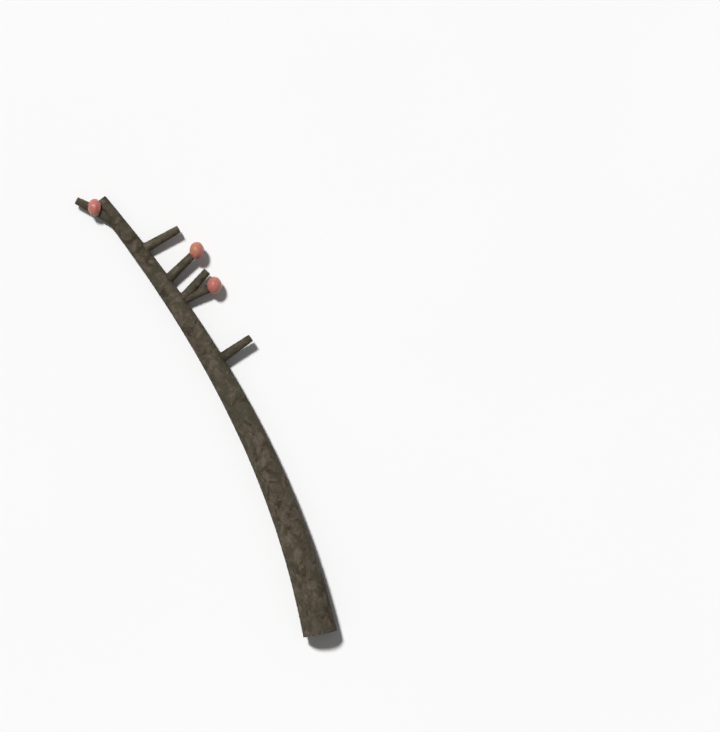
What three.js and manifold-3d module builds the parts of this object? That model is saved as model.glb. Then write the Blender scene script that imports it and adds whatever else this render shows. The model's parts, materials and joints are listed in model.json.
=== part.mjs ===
// A fallen tree branch lying on a flat surface: one bowed, tapering limb that carries six short spurs
// and three small round fruits. Units are millimetres and +Z is up. +X runs from the thick butt to the thin
// tip, the limb bows towards -Y, and the limb's underside lies on Z = 0.

import * as THREE from 'three';
import { mergeVertices } from 'three/addons/utils/BufferGeometryUtils.js';
import Module from 'manifold-3d';

// Clearance kept between solids that grow out of, or sit on, each other.
const GAP = 0.3;

// The limb. Its axis bows sideways from the straight chord, a little more on the butt's side.
const LIMB = {
  chord: 584.4,
  bow: 35.5,
  bowSkew: 0.254,
  buttRadius: 20.7,
  tipRadius: 8.4,
  sides: 24,
  rings: 60,
  endBevel: 1.2,
};

// The spurs. station is how far along the limb a spur leaves it, from 0 at the butt to 1 at the tip.
// heading is its direction seen from above, reach its length seen from above, measured from the limb's axis,
// and rise how far it climbs. swell widens the foot where it flows into the limb.
const SPURS = {
  end_twig: {
    station: 0.947, heading: 36.0, reach: 53.6, rise: 5.0, footRadius: 7.2, tipRadius: 4.3, swell: 0.9,
  },
  upper_spur: {
    station: 0.869, heading: -87.4, reach: 54.3, rise: 6.1, footRadius: 6.2, tipRadius: 4.7, swell: 0.4,
  },
  fruiting_spur: {
    station: 0.787, heading: -72.6, reach: 49.1, rise: 6.2, footRadius: 6.1, tipRadius: 4.9, swell: 0.4,
  },
  twin_spur_bare: {
    station: 0.736, heading: -69.0, reach: 54.0, rise: 6.3, footRadius: 5.9, tipRadius: 4.8, swell: 0.4,
  },
  twin_spur_fruiting: {
    station: 0.7405, heading: -93.0, reach: 43.3, rise: 3.4, footRadius: 5.5, tipRadius: 5.3, swell: 0.3,
  },
  lower_spur: {
    station: 0.5945, heading: -82.3, reach: 54.0, rise: 6.3, footRadius: 6.4, tipRadius: 4.6, swell: 0.5,
  },
};
const SPUR_SIDES = 16;
const SPUR_RINGS = 12;
const SPUR_BEVEL = 0.7;
// How quickly the swollen foot thins out along the spur.
const SWELL_LENGTH = 14;

// The fruits: small crab apples, a little shorter along the stalk than they are wide. heading is the
// direction of the wide axis, seen from above.
const FRUIT = {
  halfHeight: 10.5,
  halfWidth: 10.5,
  heading: -27.0,
  segments: 28,
  rings: 18,
};
// Each fruit's middle, measured from the tip of its spur (along the spur, to its left, and up), and half its
// length along the stalk. The fruit in the fork is slimmer than the others.
const FRUIT_PLACES = {
  fork_fruit: { spur: 'end_twig', along: -23.8, left: -2.5, up: 5.6, halfLength: 8.1 },
  spur_fruit: { spur: 'fruiting_spur', along: 8.2, left: 0.3, up: 1.2, halfLength: 8.7 },
  twin_fruit: { spur: 'twin_spur_fruiting', along: 7.6, left: 0.5, up: 1.8, halfLength: 8.7 },
};

const MATERIALS = {
  bark: new THREE.MeshStandardMaterial({ color: 0x4e483c, roughness: 0.9, metalness: 0 }),
  youngBark: new THREE.MeshStandardMaterial({ color: 0x59554a, roughness: 0.85, metalness: 0 }),
  fruitSkin: new THREE.MeshStandardMaterial({ color: 0xb97b6d, roughness: 0.4, metalness: 0 }),
};

const wasm = await Module();
wasm.setup();

function toSolid(geometry) {
  const bare = geometry.clone();
  bare.deleteAttribute('normal');
  bare.deleteAttribute('uv');
  const merged = mergeVertices(bare, 1e-4);
  return new wasm.Manifold(
    new wasm.Mesh({
      numProp: 3,
      vertProperties: new Float32Array(merged.attributes.position.array),
      triVerts: new Uint32Array(merged.index.array),
    }),
  );
}

function toGeometry(solid) {
  const { vertProperties, triVerts, numProp } = solid.getMesh();
  const positions = new Float32Array((vertProperties.length / numProp) * 3);
  for (let i = 0; i < positions.length / 3; i += 1) {
    positions.set(vertProperties.subarray(i * numProp, i * numProp + 3), i * 3);
  }
  const geometry = new THREE.BufferGeometry();
  geometry.setAttribute('position', new THREE.BufferAttribute(positions, 3));
  geometry.setIndex(new THREE.BufferAttribute(new Uint32Array(triVerts), 1));
  geometry.computeVertexNormals();
  return geometry;
}

// Turns a profile of radius against length into a closed lathe along +Y, then carries every point onto a
// stem's own path. place(length) gives the section's middle there and its sideways and upward directions.
function bendLathe(profile, sides, place) {
  const halfStep = Math.PI / sides;
  const geometry = new THREE.LatheGeometry(profile, sides, halfStep, Math.PI * 2);
  const position = geometry.attributes.position;
  for (let i = 0; i < position.count; i += 1) {
    const { middle, side, up } = place(position.getY(i));
    const across = side.clone().multiplyScalar(position.getX(i));
    const point = middle.clone().add(across).addScaledVector(up, position.getZ(i));
    position.setXYZ(i, point.x, point.y, point.z);
  }
  return geometry;
}

// A stem's profile: flat ends with a small bevel, and radius(share) in between.
function stemProfile(length, rings, bevel, radius, grow) {
  const start = -grow;
  const end = length + grow;
  const points = [new THREE.Vector2(0, start), new THREE.Vector2(radius(0) + grow - bevel, start)];
  for (let i = 0; i <= rings; i += 1) {
    const share = i / rings;
    const along = THREE.MathUtils.lerp(start + bevel, end - bevel, share);
    points.push(new THREE.Vector2(radius(share) + grow, along));
  }
  points.push(new THREE.Vector2(radius(1) + grow - bevel, end), new THREE.Vector2(0, end));
  return points;
}

const limbRadius = (share) => THREE.MathUtils.lerp(LIMB.buttRadius, LIMB.tipRadius, share);

// The limb's axis. Its height is the section's distance from axis to lowest facet, so the limb lies flat.
class LimbAxis extends THREE.Curve {
  getPoint(share, target = new THREE.Vector3()) {
    const bow = LIMB.bow * 4 * share * (1 - share) * (1 + LIMB.bowSkew * (0.5 - share));
    const height = limbRadius(share) * Math.cos(Math.PI / LIMB.sides);
    return target.set(LIMB.chord * share, -bow, height);
  }
}

const limbAxis = new LimbAxis();
const UP = new THREE.Vector3(0, 0, 1);

// Sections stand upright, square to the axis as seen from above; past the ends the axis runs on straight.
function placeOnLimb(length) {
  const share = THREE.MathUtils.clamp(length / LIMB.chord, 0, 1);
  const run = limbAxis.getTangent(share).setZ(0).normalize();
  const middle = limbAxis.getPoint(share).addScaledVector(run, length - share * LIMB.chord);
  return { middle, side: new THREE.Vector3().crossVectors(run, UP), up: UP };
}

function limbSolid(grow = 0) {
  const profile = stemProfile(LIMB.chord, LIMB.rings, LIMB.endBevel, limbRadius, grow);
  return toSolid(bendLathe(profile, LIMB.sides, placeOnLimb));
}

function spurPath(spur) {
  const angle = THREE.MathUtils.degToRad(spur.heading);
  const foot = limbAxis.getPoint(spur.station);
  const travel = new THREE.Vector3(Math.cos(angle) * spur.reach, Math.sin(angle) * spur.reach, spur.rise);
  const run = travel.clone().normalize();
  const side = new THREE.Vector3().crossVectors(run, UP).normalize();
  return { foot, run, side, up: new THREE.Vector3().crossVectors(side, run), length: travel.length() };
}

function spurSolid(spur, grow = 0) {
  const { foot, run, side, up, length } = spurPath(spur);
  const radius = (share) =>
    THREE.MathUtils.lerp(spur.footRadius, spur.tipRadius, share) +
    spur.swell * Math.exp((-share * length) / SWELL_LENGTH);
  const profile = stemProfile(length, SPUR_RINGS, SPUR_BEVEL, radius, grow);
  const place = (along) => ({ middle: foot.clone().addScaledVector(run, along), side, up });
  return toSolid(bendLathe(profile, SPUR_SIDES, place));
}

function fruitSolid({ spur, along, left, up, halfLength }) {
  const path = spurPath(SPURS[spur]);
  const middle = path.foot
    .clone()
    .addScaledVector(path.run, path.length + along)
    .addScaledVector(path.side, -left)
    .addScaledVector(UP, up);
  const geometry = new THREE.SphereGeometry(1, FRUIT.segments, FRUIT.rings);
  geometry.rotateX(Math.PI / 2);
  geometry.scale(FRUIT.halfWidth, halfLength, FRUIT.halfHeight);
  geometry.rotateZ(THREE.MathUtils.degToRad(FRUIT.heading));
  geometry.translate(middle.x, middle.y, middle.z);
  return toSolid(geometry);
}

const branch = new THREE.Group();
branch.name = 'fallen_tree_branch';

function addPiece(name, solid, material) {
  const mesh = new THREE.Mesh(toGeometry(solid), material);
  mesh.name = name;
  branch.add(mesh);
}

addPiece('limb', limbSolid(), MATERIALS.bark);

// Every spur is cut back to the limb's bark, and the second of the twin spurs to the first as well.
const limbReach = limbSolid(GAP);
for (const [name, spur] of Object.entries(SPURS)) {
  let solid = spurSolid(spur).subtract(limbReach);
  if (name === 'twin_spur_fruiting') {
    solid = solid.subtract(spurSolid(SPURS.twin_spur_bare, GAP));
  }
  addPiece(name, solid, MATERIALS.youngBark);
}

// Every fruit sits in a shallow seat of its own against the bark that bears it.
for (const [name, place] of Object.entries(FRUIT_PLACES)) {
  const solid = fruitSolid(place).subtract(spurSolid(SPURS[place.spur], GAP)).subtract(limbReach);
  addPiece(name, solid, MATERIALS.fruitSkin);
}

// The origin goes to the middle of the branch's footprint, on the surface that it lies on.
const bounds = new THREE.Box3().setFromObject(branch);
const centre = bounds.getCenter(new THREE.Vector3());
branch.position.set(-centre.x, -centre.y, -bounds.min.z);
branch.updateMatrixWorld(true);

export default branch;
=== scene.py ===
"""A fallen tree branch lying on a pale floor: bowed limb, short side spurs and small rosy fruits."""

import json
import math
from collections import namedtuple
from functools import partial

import bmesh
import bpy
import numpy as np
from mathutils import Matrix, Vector

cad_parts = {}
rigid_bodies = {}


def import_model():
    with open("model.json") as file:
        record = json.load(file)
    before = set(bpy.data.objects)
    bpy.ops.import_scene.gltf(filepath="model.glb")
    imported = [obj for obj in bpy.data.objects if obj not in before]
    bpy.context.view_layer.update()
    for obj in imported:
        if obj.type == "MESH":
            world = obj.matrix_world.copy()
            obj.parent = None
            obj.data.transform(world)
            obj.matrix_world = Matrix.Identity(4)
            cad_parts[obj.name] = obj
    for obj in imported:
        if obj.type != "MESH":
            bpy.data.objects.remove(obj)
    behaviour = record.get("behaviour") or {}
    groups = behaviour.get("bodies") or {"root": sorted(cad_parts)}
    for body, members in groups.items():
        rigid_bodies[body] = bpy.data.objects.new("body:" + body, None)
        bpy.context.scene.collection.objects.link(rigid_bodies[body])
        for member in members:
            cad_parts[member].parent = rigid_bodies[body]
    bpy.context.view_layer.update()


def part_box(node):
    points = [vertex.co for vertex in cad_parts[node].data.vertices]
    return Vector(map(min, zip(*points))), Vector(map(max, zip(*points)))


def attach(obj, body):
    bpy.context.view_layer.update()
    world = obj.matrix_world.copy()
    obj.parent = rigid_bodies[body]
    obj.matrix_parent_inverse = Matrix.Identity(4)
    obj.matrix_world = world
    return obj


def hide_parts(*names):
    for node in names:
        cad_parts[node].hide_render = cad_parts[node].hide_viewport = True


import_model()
LIMB_LOW, LIMB_HIGH = (np.array(corner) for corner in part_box("limb"))

bl_info = {
    "name": "Fallen Branch",
    "version": (1, 0, 0),
    "blender": (4, 5, 0),
    "location": "View3D > Sidebar > Branch",
    "description": "Builds a fallen branch with bark, cut spurs and small fruits around its packed frame",
    "category": "Add Mesh",
}

MM = 0.001
UP = np.array([0.0, 0.0, 1.0])
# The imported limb's section has this many sides, so its flats lie a little inside the round bark.
PACKED_SIDES = 24
# How finely the meshes are drawn: rows of points along a stem, points round it, and rows on each cut end.
LIMB_MESH = {"rings": 620, "sides": 144, "cap_rows": 14}
SPUR_MESH = {"rings": 110, "sides": 72, "cap_rows": 8}
FRUIT_ROWS, FRUIT_SIDES = 96, 128
# A point's cut value is 1 on bare wood, 0 on bark, and in between on the worn rim that parts them.
MOST_ON_BARK, LEAST_ON_WOOD = 0.2, 0.6

# station: share of the limb's length from butt to tip. heading: degrees, seen from above. The next five are
# in millimetres: reach from the limb's axis seen from above, rise, radii at foot and tip, and the swollen
# foot. film: how much more of it than of the limb is under the olive film, from 0 to 1. tone: how light its
# bark is next to the limb's, which is 1.
Spur = namedtuple("Spur", "station heading reach rise foot tip swell film tone")
SPURS = {
    "end_twig": Spur(0.947, 36.0, 53.6, 5.0, 7.2, 4.3, 0.9, 0.09, 1.05),
    "upper_spur": Spur(0.869, -87.4, 54.3, 6.1, 6.2, 4.7, 0.4, 0.02, 1.15),
    "fruiting_spur": Spur(0.787, -72.6, 49.1, 6.2, 6.1, 4.9, 0.4, 0.03, 1.0),
    "twin_spur_bare": Spur(0.736, -69.0, 54.0, 6.3, 5.9, 4.8, 0.4, 0.04, 0.95),
    "twin_spur_fruiting": Spur(0.7405, -93.0, 43.3, 3.4, 5.5, 5.3, 0.3, 0.0, 1.0),
    "lower_spur": Spur(0.5945, -82.3, 54.0, 6.3, 6.4, 4.6, 0.5, 0.08, 0.88),
}
SWELL_LENGTH = 14 * MM
# Painted shade: the bark is darkened in the angle where a spur leaves the limb, and the painted shade fades
# over this distance.
PAINTED_CREASE_SHADE_WIDTH = 1.6 * MM

# along, left and up: the fruit's middle from its spur's tip, and length: half its length, in millimetres.
# stalk, calyx and blush: heading and tilt in degrees of the side fixed to the bark, of the blossom end and
# of the rosiest side. tan: how much of the skin stays tan, from 0 to 1.
FruitPlace = namedtuple("FruitPlace", "spur along left up length stalk calyx blush tan")
FRUITS = {
    "fork_fruit": FruitPlace(
        "end_twig", -23.8, -2.5, 5.6, 8.1, (216.0, -55.0), (95.0, -12.0), (-72.0, 30.0), 0.53
    ),
    "spur_fruit": FruitPlace(
        "fruiting_spur", 8.2, 0.3, 1.2, 8.7, (107.4, -10.0), (-60.0, -42.0), (170.0, -20.0), 0.6
    ),
    "twin_fruit": FruitPlace(
        "twin_spur_fruiting", 7.6, 0.5, 1.8, 8.7, (87.0, -14.0), (-110.0, -40.0), (72.0, 12.0), 0.54
    ),
}


def srgb(code):
    """Turns an sRGB hex colour into linear RGBA."""
    parts = [int(code[i : i + 2], 16) / 255 for i in (1, 3, 5)]
    return (*(p / 12.92 if p <= 0.04045 else ((p + 0.055) / 1.055) ** 2.4 for p in parts), 1.0)


def length_property(name, description, default, low=0.0):
    return bpy.props.FloatProperty(
        name=name, description=description, default=default, min=low, unit="LENGTH", precision=5
    )


def angle_property(name, description, degrees):
    return bpy.props.FloatProperty(
        name=name, description=description, default=math.radians(degrees), subtype="ANGLE"
    )


def colour_property(name, description, code):
    return bpy.props.FloatVectorProperty(
        name=name, description=description, default=srgb(code), size=4, min=0.0, max=1.0, subtype="COLOR"
    )


class LimbSettings(bpy.types.PropertyGroup):
    chord: length_property("Chord", "Straight length from butt to tip", 584.4 * MM)
    bow: length_property("Bow", "How far the middle bows sideways", 35.5 * MM)
    bow_skew: bpy.props.FloatProperty(
        name="Bow skew", description="Bow gathered towards the butt", default=0.254
    )
    butt_radius: length_property("Butt radius", "Radius at the thick end", 20.7 * MM)
    tip_radius: length_property("Tip radius", "Radius at the thin end", 8.4 * MM)
    bark_thickness: length_property("Bark thickness", "Bark seen at the cut butt", 2.2 * MM)
    collar_height: length_property("Collar height", "Swelling of the bark round each spur", 0.35 * MM)
    collar_width: length_property("Collar width", "How far that swelling spreads", 2.4 * MM)


class SpurSettings(bpy.types.PropertyGroup):
    bark_thickness: length_property("Bark thickness", "Bark seen at the cut tips", 0.9 * MM)
    fillet: length_property("Fillet", "Flare where a spur grows out of the limb", 0.5 * MM)
    fillet_length: length_property("Fillet length", "How far up the spur that flare reaches", 2.4 * MM)
    scar_spacing: length_property("Scar spacing", "Distance between bud-scale scars", 8.5 * MM)
    scar_height: length_property("Scar height", "How far a scar's ridge stands out", 0.22 * MM)


class ReliefSettings(bpy.types.PropertyGroup):
    swell_size: length_property("Swell size", "Spacing of the broad unevenness", 38 * MM)
    swell_depth: length_property("Swell depth", "Height of the broad unevenness", 0.55 * MM)
    fissure_length: length_property("Fissure length", "Length of an old bark plate", 24 * MM)
    fissure_width: length_property("Fissure width", "Width of an old bark plate", 10 * MM)
    fissure_depth: length_property("Fissure depth", "Depth of the cracks between plates", 0.55 * MM)
    wrinkle_length: length_property("Wrinkle length", "Spacing of the wrinkles along the stem", 3.4 * MM)
    wrinkle_width: length_property("Wrinkle width", "Reach of a wrinkle round the stem", 11 * MM)
    wrinkle_depth: length_property("Wrinkle depth", "Depth of the cross wrinkles", 0.42 * MM)
    lenticel_spacing: length_property("Lenticel spacing", "Least distance between two lenticels", 7 * MM)
    lenticel_length: length_property("Lenticel length", "Length across the stem", 1.9 * MM)


class FruitSettings(bpy.types.PropertyGroup):
    half_width: length_property("Half width", "Half the wide axis", 10.5 * MM)
    half_height: length_property("Half height", "Half the upright axis", 10.5 * MM)
    heading: angle_property("Heading", "Direction of the wide axis, seen from above", -27.0)
    calyx_radius: length_property("Calyx radius", "Radius of the blossom end's hollow", 2.3 * MM)
    calyx_depth: length_property("Calyx depth", "Depth of the blossom end's hollow", 1.1 * MM)
    sepal_length: length_property("Sepal length", "Length of a dried sepal", 1.9 * MM)


class ColourSettings(bpy.types.PropertyGroup):
    bark: colour_property("Bark", "Grey-brown ground of the bark", "#52493D")
    bark_dark: colour_property("Dark bark", "Dark brown strokes and cracks", "#3B3227")
    bark_olive: colour_property("Olive film", "Green-brown film of algae", "#454132")
    bark_pale: colour_property("Pale bark", "Worn, pinkish-grey patches", "#5F554A")
    lenticel: colour_property("Lenticel", "Corky pores", "#685D4D")
    wood: colour_property("Weathered wood", "Cut wood, greyed by the weather", "#7C6E5A")
    wood_dark: colour_property("Late wood", "Darker rings, pith and drying cracks", "#4B3F31")
    fruit_rose: colour_property("Rose", "Blushed side of the skin", "#B46E67")
    fruit_tan: colour_property("Tan", "Unblushed side of the skin", "#B37660")
    fruit_blush: colour_property("Deep blush", "Darkest flecks of the skin", "#A25A54")
    fruit_dot: colour_property("Pores", "Pale dots in the skin", "#CB8E7C")
    calyx: colour_property("Calyx", "Dried sepals", "#4A3526")


class StageSettings(bpy.types.PropertyGroup):
    picture_height: length_property("Picture height", "Height that the camera takes in", 878.4 * MM)
    camera_distance: length_property("Camera distance", "Height of the camera over the branch's middle", 8.0)
    look_x: length_property("Look at X", "Middle of the picture in X", -31.8 * MM, low=-1.0)
    look_y: length_property("Look at Y", "Middle of the picture in Y", -158.75 * MM, low=-1.0)
    floor_reach: length_property("Floor reach", "How far the floor goes on every side", 14.0)
    turn: angle_property("Turn", "Heading of the picture's upward side", -26.95)
    sun: bpy.props.FloatProperty(name="Sun", description="Strength of the key light", default=3.36, min=0.0)
    sun_angle: angle_property("Sun size", "How wide the key light looks from the branch", 8.0)
    fill: bpy.props.FloatProperty(name="Fill", description="Strength of the light all round", default=0.17)
    floor: colour_property("Floor", "Pale matt paper", "#F2F2F2")
    backdrop: colour_property("Backdrop", "Pale wall far behind the floor", "#FAFAFA")


# ---- Nodes


def add_node(tree, kind, inputs=(), stops=(), **settings):
    """Adds a node and sets it up, with its inputs in a dict by name or in a list in their order.

    An input is a value, a socket, or a node, which stands for the first of its outputs that is in use. A Map
    Range node's list is the value, the lowest and highest that it takes, and what those two become. stops are
    the places and colours of a colour ramp.
    """
    node = tree.nodes.new(kind)
    for name, value in settings.items():
        setattr(node, name, value)
    for key, value in inputs.items() if isinstance(inputs, dict) else enumerate(inputs):
        if isinstance(value, bpy.types.Node):
            value = next(socket for socket in value.outputs if socket.enabled)
        if isinstance(value, bpy.types.NodeSocket):
            tree.links.new(value, node.inputs[key])
        else:
            node.inputs[key].default_value = value
    if stops:
        ramp = node.color_ramp.elements
        while len(ramp) < len(stops):
            ramp.new(1.0)
        for element, (position, colour) in zip(ramp, stops):
            element.position = position
            element.color = colour
    return node


def new_tree(name, sockets):
    """A geometry node tree with the given named inputs, what adds a node to it, and the inputs' sockets."""
    tree = bpy.data.node_groups.new(name, "GeometryNodeTree")
    tree.interface.new_socket("Geometry", in_out="INPUT", socket_type="NodeSocketGeometry")
    tree.interface.new_socket("Geometry", in_out="OUTPUT", socket_type="NodeSocketGeometry")
    for label, kind in sockets:
        tree.interface.new_socket(label, in_out="INPUT", socket_type=f"NodeSocket{kind}")
    add = partial(add_node, tree)
    return tree, add, add("NodeGroupInput").outputs


def end_tree(add, geometry, *coats):
    """Ends a tree: instances become real, and each coat says a material and, if need be, where it goes."""
    finished = add("GeometryNodeRealizeInstances", {"Geometry": geometry})
    for coat in coats:
        finished = add("GeometryNodeSetMaterial", {"Geometry": finished, **coat})
    add("NodeGroupOutput", [finished])


def apply_tree(obj, tree, values):
    """Runs a tree on an object and leaves the object with the plain mesh that comes out."""
    modifier = obj.modifiers.new(tree.name, "NODES")
    modifier.node_group = tree
    for item in tree.interface.items_tree:
        if item.in_out == "INPUT" and item.name in values:
            modifier[item.identifier] = values[item.name]
    graph = bpy.context.evaluated_depsgraph_get()
    made = bpy.data.meshes.new_from_object(obj.evaluated_get(graph), depsgraph=graph)
    obj.modifiers.clear()
    old, obj.data = obj.data, made
    bpy.data.meshes.remove(old)
    made.name = obj.name


def relief_tree():
    """Bark relief: broad unevenness, cracks between old plates and fine cross wrinkles."""
    lengths = (
        "Swell size", "Swell depth", "Plate length", "Plate width", "Crack depth",
        "Wrinkle length", "Wrinkle width", "Wrinkle depth", "Seed",
    )
    sockets = [(label, "Float") for label in lengths] + [("Bark", "Material"), ("Cut wood", "Material")]
    tree, add, given = new_tree("Bark relief", sockets)
    place = add("GeometryNodeInputNamedAttribute", {"Name": "stem"}, data_type="FLOAT_VECTOR")
    cut, old = (
        add("GeometryNodeInputNamedAttribute", {"Name": name}, data_type="FLOAT") for name in ("cut", "old")
    )

    swell_scale = add("ShaderNodeMath", [1.0, given["Swell size"]], operation="DIVIDE")
    swell = add(
        "ShaderNodeTexNoise", {"Vector": place, "W": given["Seed"], "Scale": swell_scale, "Detail": 2.0},
        noise_dimensions="4D",
    )
    swell_even = add("ShaderNodeMath", [swell, 0.5], operation="SUBTRACT")
    swell_height = add("ShaderNodeMath", [swell_even, given["Swell depth"]], operation="MULTIPLY")

    # The cracks stray sideways by a few millimetres, in waves about 11 mm long.
    stray = add(
        "ShaderNodeTexNoise", {"Vector": place, "W": given["Seed"], "Scale": 90.0, "Detail": 3.0},
        noise_dimensions="4D",
    )
    stray_even = add("ShaderNodeVectorMath", [stray.outputs[1], (0.5, 0.5, 0.5)], operation="SUBTRACT")
    strayed = add("ShaderNodeVectorMath", [stray_even, (14 * MM,) * 3, place], operation="MULTIPLY_ADD")
    plate = add("ShaderNodeCombineXYZ", [given["Plate length"], given["Plate width"], given["Plate width"]])
    plate_place = add("ShaderNodeVectorMath", [strayed, plate], operation="DIVIDE")
    edge = add("ShaderNodeTexVoronoi", {"Vector": plate_place, "Scale": 1.0}, feature="DISTANCE_TO_EDGE")
    crack = add("ShaderNodeMapRange", [edge, 0.0, 0.1, 1.0, 0.0], interpolation_type="SMOOTHSTEP")
    fissure = add("ShaderNodeMath", [crack, old], operation="MULTIPLY")
    fissure_height = add("ShaderNodeMath", [fissure, given["Crack depth"]], operation="MULTIPLY")

    wrinkle_size = add(
        "ShaderNodeCombineXYZ", [given["Wrinkle length"], given["Wrinkle width"], given["Wrinkle width"]]
    )
    wrinkle_place = add("ShaderNodeVectorMath", [place, wrinkle_size], operation="DIVIDE")
    wrinkle = add(
        "ShaderNodeTexNoise", {"Vector": wrinkle_place, "W": given["Seed"], "Scale": 1.0, "Detail": 3.0},
        noise_dimensions="4D",
    )
    wrinkle_even = add("ShaderNodeMath", [wrinkle, 0.5], operation="SUBTRACT")
    bumps = add(
        "ShaderNodeMath", [wrinkle_even, given["Wrinkle depth"], swell_height], operation="MULTIPLY_ADD"
    )
    height = add("ShaderNodeMath", [bumps, fissure_height], operation="SUBTRACT")
    barked = add("ShaderNodeMath", [1.0, cut], operation="SUBTRACT", use_clamp=True)
    bark_height = add("ShaderNodeMath", [height, barked], operation="MULTIPLY")
    offset = add(
        "ShaderNodeVectorMath", {0: add("GeometryNodeInputNormal"), "Scale": bark_height}, operation="SCALE"
    )
    moved = add("GeometryNodeSetPosition", {"Geometry": given["Geometry"], "Offset": offset})
    marked = add(
        "GeometryNodeStoreNamedAttribute", {"Geometry": moved, "Name": "fissure", "Value": fissure},
        data_type="FLOAT", domain="POINT",
    )
    smooth = add("GeometryNodeSetShadeSmooth", {"Geometry": marked})
    is_cut = add("ShaderNodeMath", [cut, LEAST_ON_WOOD], operation="GREATER_THAN")
    end_tree(add, smooth, {"Material": given["Bark"]}, {"Material": given["Cut wood"], "Selection": is_cut})
    return tree


def lenticel_tree():
    """Lenticels: small corky pores, longer across the stem than along it."""
    sockets = [("Spacing", "Float"), ("Length", "Float"), ("Seed", "Int"), ("Cork", "Material")]
    tree, add, given = new_tree("Lenticels", sockets)
    young = add("GeometryNodeInputNamedAttribute", {"Name": "young"}, data_type="FLOAT")
    run = add("GeometryNodeInputNamedAttribute", {"Name": "run"}, data_type="FLOAT_VECTOR")
    scattered = add(
        "GeometryNodeDistributePointsOnFaces",
        {
            "Mesh": given["Geometry"], "Distance Min": given["Spacing"], "Density Max": 30000.0,
            "Density Factor": young, "Seed": given["Seed"],
        },
        distribute_method="POISSON",
    )
    stand = add("FunctionNodeAlignRotationToVector", {"Vector": scattered.outputs["Normal"]}, axis="Z")
    lie = add(
        "FunctionNodeAlignRotationToVector", {"Rotation": stand, "Vector": run}, axis="X", pivot_axis="Z"
    )
    pore = add("GeometryNodeMeshUVSphere", {"Segments": 8, "Rings": 5, "Radius": 0.5})
    # A pore's size along the stem, across it and outwards, in shares of the given length.
    size = add(
        "FunctionNodeRandomValue", {"Min": (0.3, 0.6, 0.13), "Max": (0.5, 1.2, 0.24), "Seed": given["Seed"]},
        data_type="FLOAT_VECTOR",
    )
    scale = add("ShaderNodeVectorMath", {0: size, "Scale": given["Length"]}, operation="SCALE")
    placed = add(
        "GeometryNodeInstanceOnPoints",
        {"Points": scattered, "Instance": pore, "Rotation": lie, "Scale": scale},
    )
    smooth = add("GeometryNodeSetShadeSmooth", {"Geometry": placed})
    end_tree(add, smooth, {"Material": given["Cork"]})
    return tree


def sepal_tree():
    """Sepals: one dried, pointed sepal on each given point, along that point's own direction."""
    tree, add, given = new_tree("Sepals", [("Length", "Float"), ("Dried sepal", "Material")])
    lean = add("GeometryNodeInputNamedAttribute", {"Name": "lean"}, data_type="FLOAT_VECTOR")
    turned = add("FunctionNodeAlignRotationToVector", {"Vector": lean}, axis="Z")
    sepal = add(
        "GeometryNodeMeshCone",
        {"Vertices": 7, "Side Segments": 3, "Radius Top": 0.04, "Radius Bottom": 0.3, "Depth": 1.0},
    )
    placed = add(
        "GeometryNodeInstanceOnPoints",
        {"Points": given["Geometry"], "Instance": sepal, "Rotation": turned, "Scale": given["Length"]},
    )
    end_tree(add, placed, {"Material": given["Dried sepal"]})
    return tree


# ---- Materials

# A Mix node's two colour inputs.
MIX_A, MIX_B = 6, 7


def new_material(name):
    """A material with no nodes yet, and what adds a node to it."""
    material = bpy.data.materials.new(name)
    material.use_nodes = True
    material.node_tree.nodes.clear()
    return material, partial(add_node, material.node_tree)


def coat(add, surface, shader="ShaderNodeBsdfPrincipled"):
    """Ends a material in a shader with the given inputs."""
    add("ShaderNodeOutputMaterial", {"Surface": add(shader, surface)})


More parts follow.
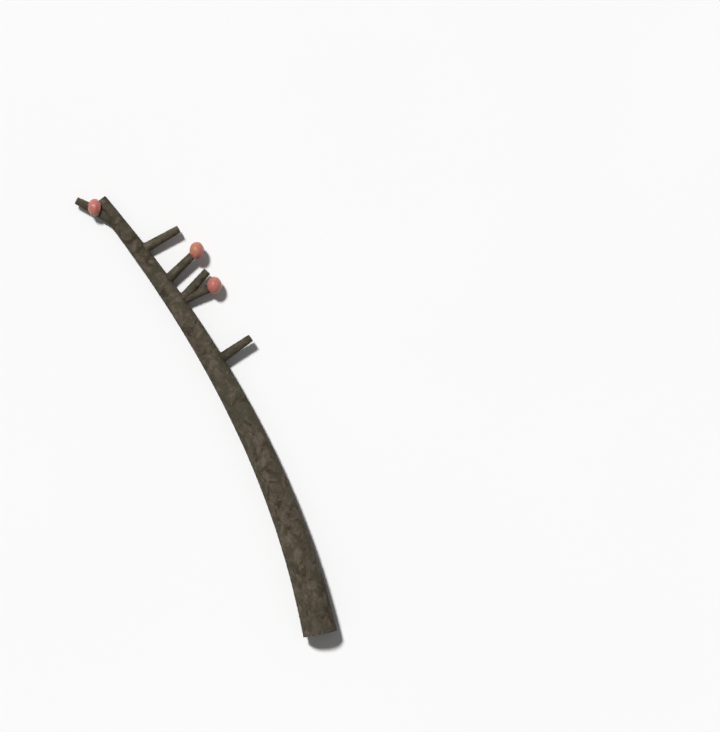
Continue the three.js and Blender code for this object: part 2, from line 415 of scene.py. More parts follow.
def bark_material(name, colours, patch, scales, film_more, tone, shift):
    """Weathered crab apple bark, grown: matt and mottled, grey-brown under an olive film, with dark strokes.

    patch is the size of a colour patch and scales that of the small bark scales, in metres. film_more spreads
    the film, and tone above 1 lightens the bark. shift moves the pattern, so that no two stems match.
    """
    material, add = new_material(name)
    stem = add("ShaderNodeAttribute", attribute_name="stem").outputs["Vector"]
    # The second attribute is painted shade, darkest in the angle where a spur leaves the limb.
    fissure, painted_crease_shade = (
        add("ShaderNodeAttribute", attribute_name=name).outputs["Fac"] for name in ("fissure", "painted_crease_shade")
    )
    # Patches are drawn out along the stem, by about 5 to 4.
    place = add("ShaderNodeMapping", {"Vector": stem, "Location": shift, "Scale": (0.8, 1.0, 1.0)})
    # Round the stem they grow by three fifths towards the limb's thin end, where the bark is younger.
    along = add("ShaderNodeSeparateXYZ", [stem])
    patch_scale = add("ShaderNodeMapRange", [along, 0.1, 0.45, 1 / patch, 0.62 / patch])
    patch_size = add("ShaderNodeCombineXYZ", [1 / patch, patch_scale, patch_scale])
    sized = add("ShaderNodeVectorMath", [place, patch_size], operation="MULTIPLY")
    patches = add(
        "ShaderNodeTexNoise",
        {"Vector": sized, "Scale": 1.0, "Detail": 3.0, "Roughness": 0.5, "Distortion": 0.9},
    )
    ground = add(
        "ShaderNodeValToRGB", {"Fac": patches},
        stops=[
            (0.38, colours.bark_dark), (0.46, colours.bark), (0.52, colours.bark), (0.6, colours.bark_pale),
        ],
    )
    film = add(
        "ShaderNodeTexNoise",
        {"Vector": sized, "W": 3.0, "Scale": 1.0, "Detail": 3.0, "Roughness": 0.5, "Distortion": 0.6},
        noise_dimensions="4D",
    )
    # The film is a little thicker on young bark.
    film_young = add("ShaderNodeMath", [along, 0.08, film], operation="MULTIPLY_ADD")
    film_cover = add("ShaderNodeMapRange", [film_young, 0.48 - film_more, 0.58 - film_more, 0.0, 0.8])
    # Dark strokes: thin bands where a second pattern passes through its middle value.
    stroke = add(
        "ShaderNodeTexNoise",
        {"Vector": place, "W": 7.0, "Scale": 0.9 / patch, "Detail": 2.0, "Distortion": 1.2},
        noise_dimensions="4D",
    )
    stroke_off = add("ShaderNodeMath", [stroke, 0.5], operation="SUBTRACT")
    stroke_near = add("ShaderNodeMath", [stroke_off], operation="ABSOLUTE")
    stroke_line = add(
        "ShaderNodeMapRange", [stroke_near, 0.0, 0.035, 0.18, 0.0], interpolation_type="SMOOTHSTEP"
    )
    crack = add("ShaderNodeMath", [fissure, 0.45], operation="MULTIPLY", use_clamp=True)
    colour = ground
    dark = colours.bark_dark
    for cover, over in ((film_cover, colours.bark_olive), (stroke_line, dark), (crack, dark)):
        colour = add("ShaderNodeMix", {0: cover, MIX_A: colour, MIX_B: over}, data_type="RGBA")
    # Small bark scales, twice as long as they are wide, each with its own tone, parted by fine dark seams.
    scale_place = add(
        "ShaderNodeVectorMath", [stem, (1 / scales, 2.1 / scales, 2.1 / scales)], operation="MULTIPLY"
    )
    scale_warp = add("ShaderNodeTexNoise", {"Vector": stem, "Scale": 1 / (6 * MM), "Detail": 4.0})
    scale_warped = add(
        "ShaderNodeVectorMath", [scale_warp.outputs[1], (1.6, 1.6, 1.6), scale_place],
        operation="MULTIPLY_ADD",
    )
    scale_cell = add("ShaderNodeTexVoronoi", {"Vector": scale_warped, "Scale": 1.0})
    scale_tone = add("ShaderNodeMapRange", [scale_cell.outputs["Color"], 0.0, 1.0, 0.9, 1.08])
    scale_edge = add(
        "ShaderNodeTexVoronoi", {"Vector": scale_warped, "Scale": 1.0}, feature="DISTANCE_TO_EDGE"
    )
    seam_depth = add("ShaderNodeMapRange", [scale_edge, 0.0, 0.1, 0.22, 0.0], interpolation_type="SMOOTHSTEP")
    # The seams open in some patches and close up in others.
    seam_open = add("ShaderNodeMapRange", [scale_warp, 0.42, 0.6, 0.0, -1.0])
    seam = add("ShaderNodeMath", [seam_depth, seam_open, 1.0], operation="MULTIPLY_ADD")
    scaly = add("ShaderNodeMath", [scale_tone, seam], operation="MULTIPLY")
    # Cork grain of about 2 mm lightens and darkens what is under it.
    grain = add(
        "ShaderNodeTexNoise", {"Vector": stem, "Scale": 1 / (2.0 * MM), "Detail": 3.0, "Roughness": 0.6}
    )
    grain_tone = add("ShaderNodeMapRange", [grain, 0.3, 0.7, 0.92 * tone, 1.08 * tone])
    fine_tone = add("ShaderNodeMath", [grain_tone, scaly], operation="MULTIPLY")
    # Painted shade: the bark is up to two fifths darker where a spur leaves the limb.
    painted_crease_shade_tone = add("ShaderNodeMath", [painted_crease_shade, -0.4, 1.0], operation="MULTIPLY_ADD")
    tone_all = add("ShaderNodeMath", [fine_tone, painted_crease_shade_tone], operation="MULTIPLY")
    toned = add("ShaderNodeVectorMath", {0: colour, "Scale": tone_all}, operation="SCALE")
    roughness = add("ShaderNodeMapRange", [patches, 0.3, 0.7, 0.94, 0.78])
    height = add("ShaderNodeMath", [seam, 2.0, grain], operation="MULTIPLY_ADD")
    bump = add("ShaderNodeBump", {"Height": height, "Strength": 0.7, "Distance": 0.3 * MM})
    coat(add, {
        "Base Color": toned, "Roughness": roughness, "Normal": bump, "IOR": 1.45, "Specular IOR Level": 0.3,
    })
    return material


def cut_wood_material(name, colours, ring_width):
    """Fruit wood, cut across and weathered: grey-tan end grain with rings, pith and drying cracks."""
    material, add = new_material(name)
    stem = add("ShaderNodeAttribute", attribute_name="stem").outputs["Vector"]
    check = add("ShaderNodeAttribute", attribute_name="check").outputs["Fac"]
    across = add("ShaderNodeVectorMath", [stem, (0.0, 1.0, 1.0)], operation="MULTIPLY")
    radius = add("ShaderNodeVectorMath", [across], operation="LENGTH")
    # The rings waver, in waves about 11 mm long.
    waver = add("ShaderNodeTexNoise", {"Vector": stem, "Scale": 90.0, "Detail": 4.0})
    ring_place = add("ShaderNodeMath", [waver, ring_width * 4.0, radius], operation="MULTIPLY_ADD")
    ring_phase = add("ShaderNodeMath", [ring_place, 2 * math.pi / ring_width], operation="MULTIPLY")
    ring = add("ShaderNodeMath", [ring_phase], operation="SINE")
    ring_shade = add("ShaderNodeMapRange", [ring, 0.1, 1.0, 0.0, 0.28])
    pith = add("ShaderNodeMapRange", [radius, 0.8 * MM, 1.6 * MM, 0.9, 0.0])
    check_line = add("ShaderNodeMapRange", [check, 0.45, 0.75, 0.0, 0.85])
    colour, dark = colours.wood, colours.wood_dark
    for cover, over in ((ring_shade, dark), (pith, dark), (check_line, colours.bark_dark)):
        colour = add("ShaderNodeMix", {0: cover, MIX_A: colour, MIX_B: over}, data_type="RGBA")
    # Grey stain left by rain, in blots of about 5 mm.
    stain = add("ShaderNodeTexNoise", {"Vector": stem, "Scale": 1 / (5 * MM), "Detail": 4.0})
    stain_tone = add("ShaderNodeMapRange", [stain, 0.3, 0.7, 0.68, 1.12])
    stained = add("ShaderNodeVectorMath", {0: colour, "Scale": stain_tone}, operation="SCALE")
    fibre = add("ShaderNodeTexNoise", {"Vector": stem, "Scale": 1 / (0.8 * MM), "Detail": 2.0})
    height = add("ShaderNodeMath", [ring, 0.12, fibre], operation="MULTIPLY_ADD")
    bump = add("ShaderNodeBump", {"Height": height, "Strength": 0.5, "Distance": 0.2 * MM})
    coat(add, {"Base Color": stained, "Normal": bump, "Roughness": 0.88, "Specular IOR Level": 0.3})
    return material


def cork_material(colours):
    """Lenticel cork, grown: dull tan pores that break the bark's surface."""
    material, add = new_material("lenticel cork, raised pores")
    place = add("ShaderNodeTexCoord").outputs["Object"]
    tone = add("ShaderNodeTexNoise", {"Vector": place, "Scale": 1 / (6 * MM), "Detail": 2.0})
    colour = add(
        "ShaderNodeValToRGB", {"Fac": tone}, stops=[(0.3, colours.bark_dark), (0.5, colours.lenticel)]
    )
    coat(add, {"Base Color": colour, "Roughness": 0.9, "Specular IOR Level": 0.25})
    return material


def fruit_material(name, colours, middle, blush_way, tan):
    """Crab apple skin, grown: thin and waxy, blushed rose over tan, with a soft sheen and pale pores.

    middle is the fruit's middle, blush_way points to its rosiest side, and tan is the share left unblushed.
    """
    material, add = new_material(name)
    place = add("ShaderNodeTexCoord").outputs["Object"]
    moved = add("ShaderNodeVectorMath", [place, tuple(middle)], operation="SUBTRACT")
    # The blush gathers on one side, by 0.36 over 10 mm, and breaks up into patches of about 7 mm.
    blotch = add(
        "ShaderNodeTexNoise",
        {"Vector": place, "Scale": 1 / (7 * MM), "Detail": 3.0, "Roughness": 0.55, "Distortion": 0.5},
    )
    facing = add(
        "ShaderNodeVectorMath", [moved, tuple(blush_way * 0.36 / (10 * MM))], operation="DOT_PRODUCT"
    )
    blush = add("ShaderNodeMath", [blotch, facing], operation="ADD")
    skin = add("ShaderNodeMapRange", [blush, tan - 0.09, tan + 0.09, 0.0, 1.0])
    fleck = add(
        "ShaderNodeTexNoise", {"Vector": moved, "Scale": 1 / (1.6 * MM), "Detail": 3.0, "Roughness": 0.65}
    )
    fleck_cover = add("ShaderNodeMapRange", [fleck, 0.52, 0.72, 0.0, 0.3])
    # Pores are 2 mm apart and drawn 0.5 mm wide, a little coarser than real ones, so that they show.
    pore = add("ShaderNodeTexVoronoi", {"Vector": moved, "Scale": 1 / (2.1 * MM)})
    pore_cover = add("ShaderNodeMapRange", [pore, 0.08, 0.17, 0.55, 0.0])
    colour = colours.fruit_tan
    for cover, over in (
        (skin, colours.fruit_rose), (fleck_cover, colours.fruit_blush), (pore_cover, colours.fruit_dot)
    ):
        colour = add("ShaderNodeMix", {0: cover, MIX_A: colour, MIX_B: over}, data_type="RGBA")
    bump = add("ShaderNodeBump", {"Height": fleck, "Strength": 0.35, "Distance": 0.12 * MM})
    roughness = add("ShaderNodeMapRange", [fleck, 0.3, 0.7, 0.34, 0.44])
    coat(add, {
        "Base Color": colour, "Roughness": roughness, "Normal": bump, "IOR": 1.42,
        "Subsurface Weight": 0.4, "Subsurface Radius": (1.0, 0.45, 0.3), "Subsurface Scale": 4.0 * MM,
    })
    return material


def calyx_material(colours):
    """Dried sepals: brown, brittle and matt, mottled with darker brown."""
    material, add = new_material("dried sepal, brittle")
    place = add("ShaderNodeTexCoord").outputs["Object"]
    tone = add("ShaderNodeTexNoise", {"Vector": place, "Scale": 1 / (0.8 * MM), "Detail": 2.0})
    colour = add("ShaderNodeValToRGB", {"Fac": tone}, stops=[(0.35, srgb("#2B1E16")), (0.65, colours.calyx)])
    coat(add, {"Base Color": colour, "Roughness": 0.85})
    return material


def floor_material(colours):
    """Matt studio paper: near white, with the faintest unevenness."""
    material, add = new_material("studio paper, matt")
    place = add("ShaderNodeTexCoord").outputs["Object"]
    tone = add("ShaderNodeTexNoise", {"Vector": place, "Scale": 3.0, "Detail": 1.0})
    bright = add("ShaderNodeMapRange", [tone, 0.3, 0.7, 0.99, 1.0])
    colour = add("ShaderNodeVectorMath", {0: tuple(colours.floor)[:3], "Scale": bright}, operation="SCALE")
    coat(add, {"Base Color": colour, "Roughness": 1.0, "Specular IOR Level": 0.0})
    return material


def backdrop_material(colours):
    """Pale studio wall, evenly lit."""
    material, add = new_material("studio wall, evenly lit")
    coat(add, {"Color": tuple(colours.backdrop)}, "ShaderNodeEmission")
    return material


# ---- Shapes


def unit(vector):
    return vector / np.linalg.norm(vector, axis=-1, keepdims=True)


def compass(heading, tilt=0.0):
    """A direction from its heading, seen from above, and its tilt above the horizon, both in degrees."""
    h, t = math.radians(heading), math.radians(tilt)
    return np.array([math.cos(h) * math.cos(t), math.sin(h) * math.cos(t), math.sin(t)])


def limb_radius(limb, share):
    return limb.butt_radius + (limb.tip_radius - limb.butt_radius) * share


def limb_plan(limb, share):
    """The limb's axis seen from above, with the butt's middle at zero."""
    bow = limb.bow * 4 * share * (1 - share) * (1 + limb.bow_skew * (0.5 - share))
    return np.stack([limb.chord * share, -bow], axis=-1)


def limb_run(limb, share):
    """Level direction of the limb, from butt to tip."""
    step = 1e-4
    travel = limb_plan(limb, share + step) - limb_plan(limb, share - step)
    return unit(np.concatenate([travel, np.zeros_like(travel[..., :1])], axis=-1))


def limb_start(limb):
    """Where the butt's middle is, found by laying the limb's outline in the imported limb's box."""
    share = np.linspace(0, 1, 121)
    side = np.cross(limb_run(limb, share), UP)[:, :2]
    reach = (limb_radius(limb, share) * math.cos(math.pi / PACKED_SIDES))[:, None]
    outline = np.concatenate([limb_plan(limb, share) + side * reach, limb_plan(limb, share) - side * reach])
    middle_x = (LIMB_LOW[0] + LIMB_HIGH[0]) / 2 - (outline[:, 0].min() + outline[:, 0].max()) / 2
    return np.array([middle_x, LIMB_LOW[1] - outline[:, 1].min(), 0.0])


def limb_axis(limb, share):
    """The limb's axis, one radius above the floor."""
    share = np.asarray(share, float)
    plan = limb_plan(limb, share)
    height = limb_radius(limb, share)[..., None]
    return limb_start(limb) + np.concatenate([plan, height], axis=-1)


def spur_path(limb, spur):
    """A spur's foot on the limb's axis, its direction and its length."""
    foot = limb_axis(limb, spur.station)
    travel = compass(spur.heading) * spur.reach * MM + UP * spur.rise * MM
    return foot, unit(travel), np.linalg.norm(travel)


def spur_radius(spur, share, length):
    taper = spur.foot + (spur.tip - spur.foot) * share
    return taper * MM + spur.swell * MM * np.exp(-share * length / SWELL_LENGTH)


def rim_width(bark):
    """How wide the worn rim is between a cut end and the bark."""
    return min(bark * 0.45, 0.7 * MM)


def end_rows(radius, bark, recess, rows):
    """A cut end, from its middle outwards: distance back from the end, radius, and cut value."""
    wood = [(recess * (0.4 + 0.6 * k / rows), (radius - bark) * k / rows, 1.0) for k in range(1, rows + 1)]
    rim = rim_width(bark)
    return wood + [
        (0.0, radius - bark * 0.8, 1.0), (0.0, radius - rim, 0.3), (rim * 0.35, radius - rim * 0.3, 0.0),
    ]


def stem_points(place, radius, start, end, rings, sides, bark, recess, cap_rows):
    """A closed stem as rows of points: one cut end, the bark, the other cut end.

    place(along) gives the section's middle, run, side and up; radius(along) its radius.
    """
    first = [(start + back, r, cut) for back, r, cut in end_rows(radius(start), bark, recess, cap_rows)]
    last = [(end - back, r, cut) for back, r, cut in end_rows(radius(end), bark, recess, cap_rows)]
    rim = rim_width(bark)
    middle = [(a, radius(a), 0.0) for a in np.linspace(start + rim, end - rim, rings)]
    rows = np.array(first + middle + last[::-1])
    angle = np.arange(sides) * 2 * math.pi / sides
    along, reach, cut = rows.T
    centre, run, side, up = place(along)
    out = side[:, None] * np.cos(angle)[None, :, None] + up[:, None] * np.sin(angle)[None, :, None]

    def all_round(values):
        return np.broadcast_to(values[:, None], out.shape[: values.ndim + 1])

    across = [reach[:, None] * np.cos(angle), reach[:, None] * np.sin(angle)]
    return {
        "co": centre[:, None] + out * reach[:, None, None],
        "out": out,
        "run": all_round(run),
        "stem": np.stack([all_round(along), *across], axis=-1),
        "cut": all_round(cut), "reach": all_round(reach), "along": all_round(along),
        "angle": np.broadcast_to(angle, out.shape[:2]),
    }


def drying_checks(grid, radii, count, depth, rng):
    """Straight cracks that run out from the pith of the two cut ends, given those ends' radii.

    Sinks the cut faces along the cracks and returns where they are. A crack opens over a sixth of the radius
    and closes over a fifth.
    """
    check = np.zeros_like(grid["cut"])
    half = len(check) // 2
    for rows, inward, radius in ((slice(None, half), 1.0, radii[0]), (slice(half, None), -1.0, radii[1])):
        share = np.clip(grid["reach"][rows] / radius, 0, 1)
        for column in rng.integers(check.shape[1], size=count):
            opens, closes = rng.uniform(0.0, 0.4), rng.uniform(0.5, 1.3)
            place = share[:, column]
            present = np.clip((place - opens) * 6, 0, 1) * np.clip((closes - place) * 5, 0, 1)
            check[rows, column] = present * (grid["cut"][rows, column] > LEAST_ON_WOOD)
        grid["co"][rows] += grid["run"][rows] * (inward * depth * radius / radii[0] * check[rows])[..., None]
    return check


def grid_mesh(name, grid, kept=()):
    """A closed mesh from rows of points, with a pole at each end and the named values kept on its points."""
    rows, sides = grid["co"].shape[:2]
    corners = np.arange(rows * sides).reshape(rows, sides)
    turned = np.roll(corners, -1, axis=1)
    quads = np.stack([corners[:-1], turned[:-1], turned[1:], corners[1:]], axis=-1).reshape(-1, 4)
    poles = (rows * sides, rows * sides + 1)
    first = [(poles[0], int(b), int(a)) for a, b in zip(corners[0], turned[0])]
    last = [(poles[1], int(a), int(b)) for a, b in zip(corners[-1], turned[-1])]

    def with_poles(values):
        flat = values.reshape(rows * sides, -1)
        ends = [values[row].reshape(sides, -1).mean(0)[None] for row in (0, -1)]
        return np.concatenate([flat, *ends])

    mesh = bpy.data.meshes.new(name)
    mesh.from_pydata(with_poles(grid["co"]).tolist(), [], quads.tolist() + first + last)
    for label in kept:
        values = with_poles(grid[label])
        if values.shape[1] == 3:
            mesh.attributes.new(label, "FLOAT_VECTOR", "POINT").data.foreach_set("vector", values.ravel())
        else:
            mesh.attributes.new(label, "FLOAT", "POINT").data.foreach_set("value", values.ravel())
    shape = bmesh.new()
    shape.from_mesh(mesh)
    bmesh.ops.recalc_face_normals(shape, faces=shape.faces)
    shape.to_mesh(mesh)
    shape.free()
    return mesh


def limb_grid(limb, rng):
    """The limb's points, with a bark collar and painted shade round each spur's foot, and drying cracks in
    both ends.
    """

    def place(along):
        share = np.clip(along / limb.chord, 0, 1)
        run = limb_run(limb, share)
        side = np.cross(run, UP)
        return limb_axis(limb, share), run, side, np.broadcast_to(UP, side.shape)

    grid = stem_points(
        place, lambda along: limb_radius(limb, along / limb.chord), 0.0, limb.chord,
        bark=limb.bark_thickness, recess=0.5 * MM, **LIMB_MESH,
    )
    on_bark = grid["cut"] < MOST_ON_BARK
    grid["painted_crease_shade"] = np.zeros_like(grid["cut"])
    for spur in SPURS.values():
        foot, run, _ = spur_path(limb, spur)
        offset = grid["co"] - foot
        ahead = offset @ run
        away = np.maximum(np.linalg.norm(offset - ahead[..., None] * run, axis=-1) - spur.foot * MM, 0)
        lift = limb.collar_height * np.exp(-((away / limb.collar_width) ** 2))
        grid["co"] += grid["out"] * (lift * on_bark * (ahead > 0))[..., None]
        # Painted shade, fading over the limb's bark away from each spur's foot.
        grid["painted_crease_shade"] = np.maximum(grid["painted_crease_shade"], np.exp(-away / PAINTED_CREASE_SHADE_WIDTH) * (ahead > 0))
    grid["check"] = drying_checks(grid, (limb.butt_radius, limb.tip_radius), 8, 1.6 * MM, rng)
    share = grid["along"] / limb.chord
    grid["old"] = np.clip(1.0 - 2.2 * share, 0, 1)
    grid["young"] = np.clip(0.25 + share, 0, 1) * on_bark
    return grid


def spur_grid(limb, shape, spur, rng):
    """A spur's points, with a flare and painted shade at its foot, ridges of bud-scale scars and drying
    cracks in its tip.
    """
    foot, run, length = spur_path(limb, spur)
    side = unit(np.cross(run, UP))
    up = np.cross(side, run)

    def place(along):
        middle = foot + along[:, None] * run
        return middle, *(np.broadcast_to(way, middle.shape) for way in (run, side, up))

    grid = stem_points(
        place, lambda along: spur_radius(spur, along / length, length), 4 * MM, length,
        bark=shape.bark_thickness, recess=0.25 * MM, **SPUR_MESH,
    )
    # How far each point is from the limb's bark, by the nearest of many places along the limb's axis.
    stations = np.linspace(0, 1, 600)
    axis = limb_axis(limb, stations)
    points = grid["co"].reshape(-1, 1, 3)
    nearest = np.linalg.norm(points[:, :, :2] - axis[None, :, :2], axis=-1).argmin(axis=1)
    clear = np.linalg.norm(points[:, 0] - axis[nearest], axis=-1) - limb_radius(limb, stations)[nearest]
    clear = np.maximum(clear, 0).reshape(grid["cut"].shape)
    flare = shape.fillet * np.exp(-clear / shape.fillet_length * 2)
    scars = np.zeros_like(flare)
    scar = grid["along"].min() + shape.scar_spacing * 1.3
    while scar < length - shape.scar_spacing * 0.5:
        slant = 0.5 * MM * np.sin(grid["angle"] + rng.uniform(0, 6))
        scars += shape.scar_height * np.exp(-(((grid["along"] - scar - slant) / (0.55 * MM)) ** 2))
        scar += shape.scar_spacing * rng.uniform(0.6, 1.3)
    on_bark = grid["cut"] < MOST_ON_BARK
    grid["co"] += grid["out"] * ((flare + scars) * on_bark)[..., None]
    grid["check"] = drying_checks(grid, (spur.foot * MM, spur.tip * MM), 4, 0.6 * MM, rng)
    grid["old"] = np.zeros_like(flare)
    grid["young"] = 1.0 * (on_bark & (clear > 2 * MM))
    # Painted shade, fading up the spur from where it leaves the limb's bark.
    grid["painted_crease_shade"] = np.exp(-clear / PAINTED_CREASE_SHADE_WIDTH)
    return grid


def fruit_middle(limb, place):
    """Where a fruit's middle is, measured from its spur's tip."""
    foot, run, length = spur_path(limb, SPURS[place.spur])
    side = unit(np.cross(run, UP))
    return foot + run * (length + place.along * MM) - side * place.left * MM + UP * place.up * MM


def fruit_surface(fruit, place, way):
    """The skin's offset from a fruit's middle in each given direction, before any hollow."""
    wide = np.array([math.cos(fruit.heading), math.sin(fruit.heading), 0.0])
    halves = ((wide, fruit.half_width), (np.cross(UP, wide), place.length * MM), (UP, fruit.half_height))
    return sum(axis * (way @ axis)[..., None] * half for axis, half in halves)


def fruit_grid(fruit, place, middle, number):
    """A fruit's points, a little uneven, with a hollow at the blossom end inside a low rim of five lobes."""
    stalk, calyx = compass(*place.stalk), compass(*place.calyx)
    polar = (np.arange(1, FRUIT_ROWS) * math.pi / FRUIT_ROWS)[:, None, None]
    turn = (np.arange(FRUIT_SIDES) * 2 * math.pi / FRUIT_SIDES)[None, :, None]
    east = unit(np.cross(stalk, UP))
    north = np.cross(east, stalk)
    way = stalk * np.cos(polar) + (east * np.cos(turn) + north * np.sin(turn)) * np.sin(polar)
    from_calyx = np.arccos(np.clip(way @ calyx, -1, 1)) * fruit.half_width
    hollow = fruit.calyx_depth * np.exp(-((from_calyx / fruit.calyx_radius) ** 2))
    rim_away = (from_calyx - fruit.calyx_radius * 1.7) / fruit.calyx_radius
    around = np.arctan2(way @ unit(np.cross(calyx, UP)), way @ UP)
    rim = 0.18 * fruit.calyx_depth * np.exp(-(rim_away ** 2) * 2) * (1 + 0.4 * np.cos(5 * around))
    uneven = 0.12 * MM * np.sin(way @ np.array([3.1, 2.3, 1.7]) * 2.2 + number)
    return {"co": middle + fruit_surface(fruit, place, way) + way * (rim - hollow + uneven)[..., None]}


def sepal_places(fruit, place, middle, number):
    """Where five sepals stand, in a ring in the hollow of the blossom end, and which way each leans."""
    calyx = compass(*place.calyx)
    centre = middle + fruit_surface(fruit, place, calyx) - calyx * fruit.calyx_depth * 0.75
    across = unit(np.cross(calyx, UP))
    over = np.cross(across, calyx)
    for k in range(5):
        turned = 2 * math.pi * k / 5 + number
        outward = across * math.cos(turned) + over * math.sin(turned)
        yield centre + outward * 0.7 * MM, unit(calyx + outward * 0.9)


def add_piece(name, mesh):
    obj = bpy.data.objects.new(name, mesh)
    bpy.context.scene.collection.objects.link(obj)
    return obj


def keep_above_floor(obj):
    """Presses the underside flat where it lies on the floor."""
    points = np.empty(len(obj.data.vertices) * 3)
    obj.data.vertices.foreach_get("co", points)
    points[2::3] = np.maximum(points[2::3], 0.0)
    obj.data.vertices.foreach_set("co", points)
    obj.data.update()


def settle(obj, slot, *nodes):
    """Fixes a finished piece to the branch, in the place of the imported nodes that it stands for."""
    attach(obj, "root")
    if nodes:
        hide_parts(*nodes)


# What the trees and materials read from a stem's points.
BARK_VALUES = ("stem", "run", "cut", "check", "old", "young", "painted_crease_shade")


def relief_values(relief, strength, seed, bark, cut_wood):
    return {
        "Swell size": relief.swell_size * strength, "Swell depth": relief.swell_depth * strength,
        "Plate length": relief.fissure_length, "Plate width": relief.fissure_width,
        "Crack depth": relief.fissure_depth,
        "Wrinkle length": relief.wrinkle_length * strength, "Wrinkle width": relief.wrinkle_width * strength,
        "Wrinkle depth": relief.wrinkle_depth, "Seed": float(seed),
        "Bark": bark, "Cut wood": cut_wood,
    }


# ---- Operators


class BRANCH_OT_limb(bpy.types.Operator):
    """Build the bowed limb with its bark, collars and cut ends"""

    bl_idname = "branch.limb"
    bl_label = "Limb"

    def execute(self, context):
        scene = context.scene
        limb, relief, colours = scene.branch_limb, scene.branch_relief, scene.branch_colours
        grid = limb_grid(limb, np.random.default_rng(11))
        piece = add_piece("limb_bark", grid_mesh("limb_bark", grid, BARK_VALUES))
        bark = bark_material(
            "crab apple bark, weathered", colours, patch=9.5 * MM, scales=4.2 * MM,
            film_more=0.0, tone=1.0, shift=(0.0, 0.0, 0.0),
        )
        wood = cut_wood_material("fruit wood end grain, weathered", colours, ring_width=1.5 * MM)
        values = relief_values(relief, strength=1.0, seed=2, bark=bark, cut_wood=wood)
        apply_tree(piece, relief_tree(), values)
        keep_above_floor(piece)
        settle(piece, "limb_bark", "limb")
        return {"FINISHED"}


class BRANCH_OT_spurs(bpy.types.Operator):
    """Build the short spurs that grow from the limb, each with bark, scars and a cut tip"""

    bl_idname = "branch.spurs"
    bl_label = "Spurs"

    def execute(self, context):
        scene = context.scene
        relief, colours = scene.branch_relief, scene.branch_colours
        tree = relief_tree()
        wood = cut_wood_material("fruit wood spur tip, weathered", colours, ring_width=0.9 * MM)
        for number, (name, spur) in enumerate(SPURS.items()):
            rng = np.random.default_rng(30 + number)
            grid = spur_grid(scene.branch_limb, scene.branch_spurs, spur, rng)
            piece = add_piece(f"{name}_bark", grid_mesh(f"{name}_bark", grid, BARK_VALUES))
            bark = bark_material(
                f"crab apple bark, {name.replace('_', ' ')}", colours, patch=9 * MM, scales=2.6 * MM,
                film_more=spur.film, tone=spur.tone, shift=tuple(rng.uniform(0.1, 0.9, 3)),
            )
            values = relief_values(relief, strength=0.5, seed=5 + number, bark=bark, cut_wood=wood)
            apply_tree(piece, tree, values)
            settle(piece, "spur_bark", name)
        return {"FINISHED"}


class BRANCH_OT_lenticels(bpy.types.Operator):
    """Scatter corky pores over the bark of the limb and the spurs"""

    bl_idname = "branch.lenticels"
    bl_label = "Lenticels"

    def execute(self, context):
        relief = context.scene.branch_relief
        tree = lenticel_tree()
        cork = cork_material(context.scene.branch_colours)
        for number, name in enumerate(["limb", *SPURS]):
            piece = add_piece(f"{name}_lenticels", bpy.data.objects[f"{name}_bark"].data.copy())
            size = 1.0 if name == "limb" else 0.7
            values = {
                "Spacing": relief.lenticel_spacing * size, "Length": relief.lenticel_length * size,
                "Seed": number, "Cork": cork,
            }
            apply_tree(piece, tree, values)
            keep_above_floor(piece)
            settle(piece, "limb_bark" if name == "limb" else "spur_bark")
        return {"FINISHED"}


class BRANCH_OT_fruits(bpy.types.Operator):
    """Build the small fruits, each fixed to its spur, with a dried blossom end"""

    bl_idname = "branch.fruits"
    bl_label = "Fruits"

    def execute(self, context):
        scene = context.scene
        limb, fruit, colours = scene.branch_limb, scene.branch_fruit, scene.branch_colours
        sepals = []
        for number, (name, place) in enumerate(FRUITS.items()):
            middle = fruit_middle(limb, place)
            grid = fruit_grid(fruit, place, middle, number)
            piece = add_piece(f"{name}_skin", grid_mesh(f"{name}_skin", grid))
            look = f"crab apple skin, {name.replace('_', ' ')}"
            skin = fruit_material(look, colours, middle, compass(*place.blush), place.tan)
            piece.data.materials.append(skin)
            piece.data.shade_smooth()
            settle(piece, "fruit_skin", name)
            sepals.extend(sepal_places(fruit, place, middle, number))
        spots, leans = zip(*sepals)
        mesh = bpy.data.meshes.new("fruit_sepals")
        mesh.from_pydata([tuple(spot) for spot in spots], [], [])
        mesh.attributes.new("lean", "FLOAT_VECTOR", "POINT").data.foreach_set("vector", np.ravel(leans))
        piece = add_piece("fruit_sepals", mesh)
        values = {"Length": fruit.sepal_length, "Dried sepal": calyx_material(colours)}
        apply_tree(piece, sepal_tree(), values)
        piece.data.shade_smooth()
        settle(piece, "fruit_skin")
        return {"FINISHED"}


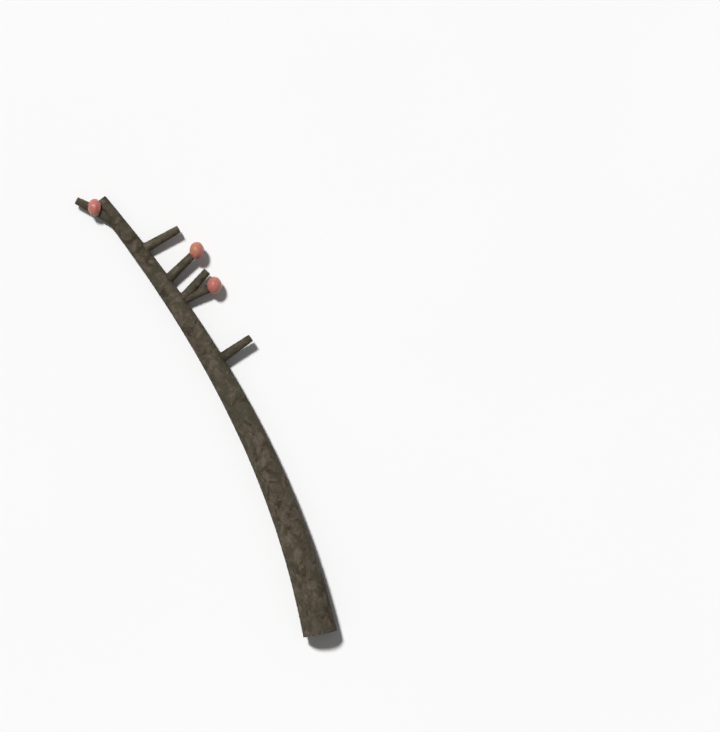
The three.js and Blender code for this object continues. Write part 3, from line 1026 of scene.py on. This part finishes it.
class BRANCH_OT_stage(bpy.types.Operator):
    """Set the pale floor, the soft key light, the fill and the camera that looks straight down"""

    bl_idname = "branch.stage"
    bl_label = "Stage"

    def execute(self, context):
        scene = context.scene
        stage = scene.branch_stage
        far = stage.floor_reach
        corners = [(-far, -far), (far, -far), (far, far), (-far, far)]
        mesh = bpy.data.meshes.new("floor")
        mesh.from_pydata([(x, y, 0.0) for x, y in corners], [], [(0, 1, 2, 3)])
        mesh.materials.append(floor_material(stage))
        add_piece("floor", mesh)

        # The backdrop only fills the view beyond the floor: it neither lights nor shades the branch.
        wall = bpy.data.meshes.new("backdrop")
        wall.from_pydata(
            [(x, y, z) for z in (0.0, far) for x, y in corners], [],
            [(k, (k + 1) % 4, (k + 1) % 4 + 4, k + 4) for k in range(4)],
        )
        wall.materials.append(backdrop_material(stage))
        backdrop = add_piece("backdrop", wall)
        backdrop.visible_diffuse = backdrop.visible_glossy = backdrop.visible_shadow = False
        backdrop.visible_transmission = False

        sun = bpy.data.lights.new("key_light", "SUN")
        sun.energy, sun.angle = stage.sun, stage.sun_angle
        key = add_piece("key_light", sun)
        # The light comes down at 59 degrees, from over the thin tip's end of the picture.
        key.rotation_mode = "QUATERNION"
        key.rotation_quaternion = Vector((-0.595, -0.065, -1.0)).to_track_quat("-Z", "Y")

        scene.world = bpy.data.worlds.new("fill")
        scene.world.use_nodes = True
        tree = scene.world.node_tree
        tree.nodes.clear()
        add = partial(add_node, tree)
        sky = add("ShaderNodeBackground", {"Color": (1, 1, 1, 1), "Strength": stage.fill})
        add("ShaderNodeOutputWorld", {"Surface": sky})

        lens = bpy.data.cameras.new("camera")
        # A long lens from far above, so that nothing leans outwards.
        lens.lens = lens.sensor_width * stage.camera_distance / stage.picture_height
        lens.clip_end = 2 * stage.camera_distance
        camera = add_piece("camera", lens)
        middle_height = (LIMB_LOW[2] + LIMB_HIGH[2]) / 2
        camera.location = (stage.look_x, stage.look_y, middle_height + stage.camera_distance)
        camera.rotation_euler = (0.0, 0.0, stage.turn - math.pi / 2)
        scene.camera = camera
        scene.view_settings.view_transform = "Standard"
        scene.view_settings.look = "None"
        return {"FINISHED"}


class BRANCH_PT_panel(bpy.types.Panel):
    """Lists the pieces of the branch in the order in which they are built"""

    bl_idname = "BRANCH_PT_panel"
    bl_label = "Fallen Branch"
    bl_space_type = "VIEW_3D"
    bl_region_type = "UI"
    bl_category = "Branch"

    def draw(self, context):
        for name, _ in SETTINGS:
            box = self.layout.box()
            settings = getattr(context.scene, name)
            for label in settings.bl_rna.properties.keys():
                if label not in ("rna_type", "name"):
                    box.prop(settings, label)
        for operator in OPERATORS:
            self.layout.operator(operator.bl_idname)


SETTINGS = (
    ("branch_limb", LimbSettings),
    ("branch_spurs", SpurSettings),
    ("branch_relief", ReliefSettings),
    ("branch_fruit", FruitSettings),
    ("branch_colours", ColourSettings),
    ("branch_stage", StageSettings),
)
OPERATORS = (BRANCH_OT_limb, BRANCH_OT_spurs, BRANCH_OT_lenticels, BRANCH_OT_fruits, BRANCH_OT_stage)


def register():
    for name, settings in SETTINGS:
        bpy.utils.register_class(settings)
        setattr(bpy.types.Scene, name, bpy.props.PointerProperty(type=settings))
    for operator in OPERATORS:
        bpy.utils.register_class(operator)
    bpy.utils.register_class(BRANCH_PT_panel)


def unregister():
    bpy.utils.unregister_class(BRANCH_PT_panel)
    for operator in reversed(OPERATORS):
        bpy.utils.unregister_class(operator)
    for name, settings in reversed(SETTINGS):
        delattr(bpy.types.Scene, name)
        bpy.utils.unregister_class(settings)


def main():
    register()
    bpy.ops.branch.limb()
    bpy.ops.branch.spurs()
    bpy.ops.branch.lenticels()
    bpy.ops.branch.fruits()
    bpy.ops.branch.stage()


if __name__ == "__main__":
    main()
